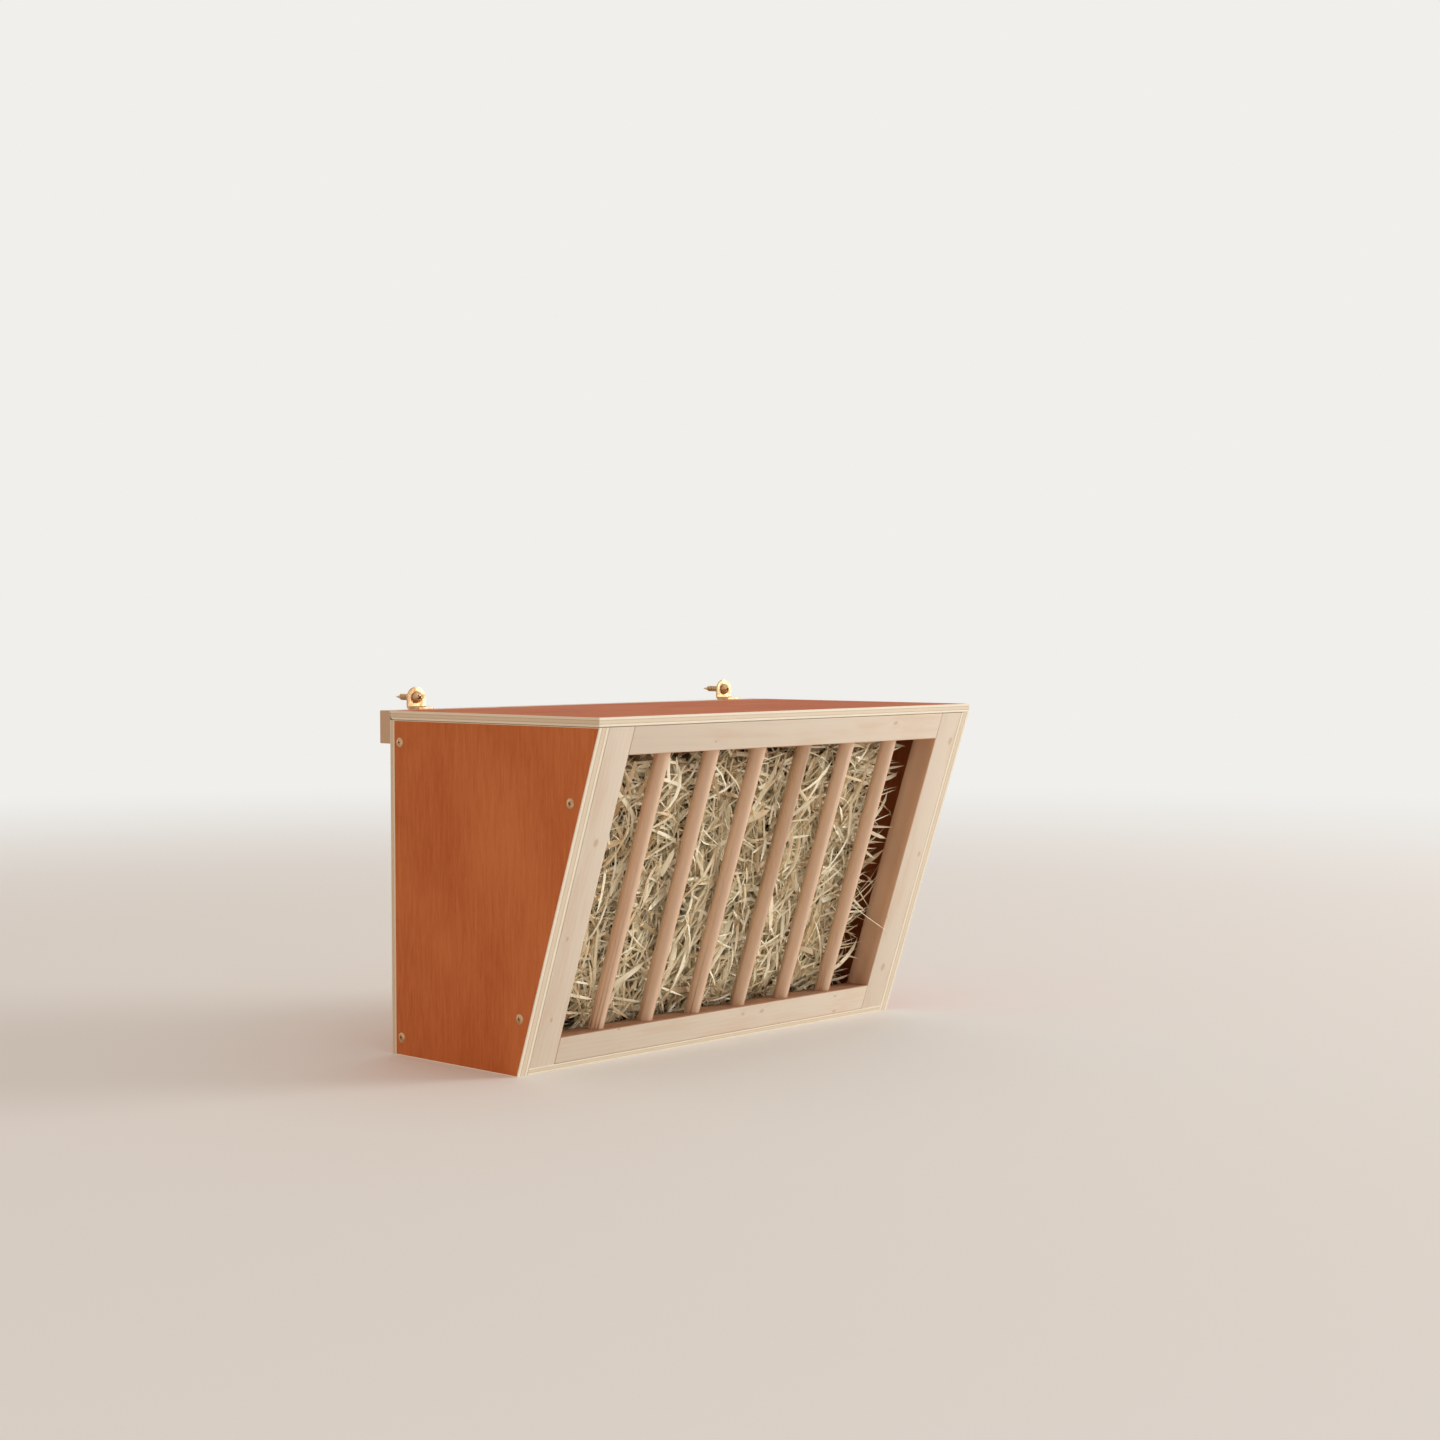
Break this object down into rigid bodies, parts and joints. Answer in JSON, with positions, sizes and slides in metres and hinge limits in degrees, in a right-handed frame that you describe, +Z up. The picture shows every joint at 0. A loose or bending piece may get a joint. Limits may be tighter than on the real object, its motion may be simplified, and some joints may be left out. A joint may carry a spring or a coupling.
{
  "type": "hay feeder box",
  "caption": "Wall-hung plywood hay feeder with a barred front that leans in towards the bottom, a lid hinged at the back and two angle brackets for wall screws.",
  "frame": {"origin": "midway between the two wall screws, in the plane of the wall", "axes": "+X along the width to the feeder's right as seen from the front, +Y into the wall, +Z up"},
  "size_m": [0.251, 0.16, 0.1668],
  "materials": {
    "stained_plywood": "red-brown stain on the faces, bare layered edges, satin",
    "planed_pine": "bare planed pine with small knots, matt",
    "beech_dowel": "smooth turned dowel, satin",
    "brass": "brass-plated, lightly dulled",
    "steel_wire": "bright wire nails"
  },
  "bodies": {
    "box": {"left_side_panel": "stained_plywood", "right_side_panel": "stained_plywood", "back_panel": "stained_plywood", "bottom_panel": "stained_plywood", "left_stile": "planed_pine", "right_stile": "planed_pine", "top_rail": "planed_pine", "bottom_rail": "planed_pine", "bar_1": "beech_dowel", "bar_2": "beech_dowel", "bar_3": "beech_dowel", "bar_4": "beech_dowel", "bar_5": "beech_dowel", "bar_6": "beech_dowel", "frame_dowel_pins": "beech_dowel", "left_corner_post": "planed_pine", "right_corner_post": "planed_pine", "hanging_rail": "planed_pine", "left_bracket": "brass", "right_bracket": "brass", "left_hinge_rail_leaf": "brass", "right_hinge_rail_leaf": "brass", "hinge_pins": "brass", "left_side_screws": "brass", "right_side_screws": "brass", "wall_screws": "brass", "bracket_screws": "brass", "rail_screws": "brass", "hinge_rail_screws": "brass", "back_nails": "steel_wire", "bottom_nails": "steel_wire"},
    "lid": {"lid": "stained_plywood", "left_hinge_lid_leaf": "brass", "right_hinge_lid_leaf": "brass", "hinge_lid_screws": "brass"}
  },
  "joints": [
    {"name": "lid_hinge", "type": "hinge", "parent": "box", "child": "lid", "pos_m": [0, -0.0103, -0.0075], "axis": [-1, 0, 0], "range_deg": [0, 93]}
  ]
}
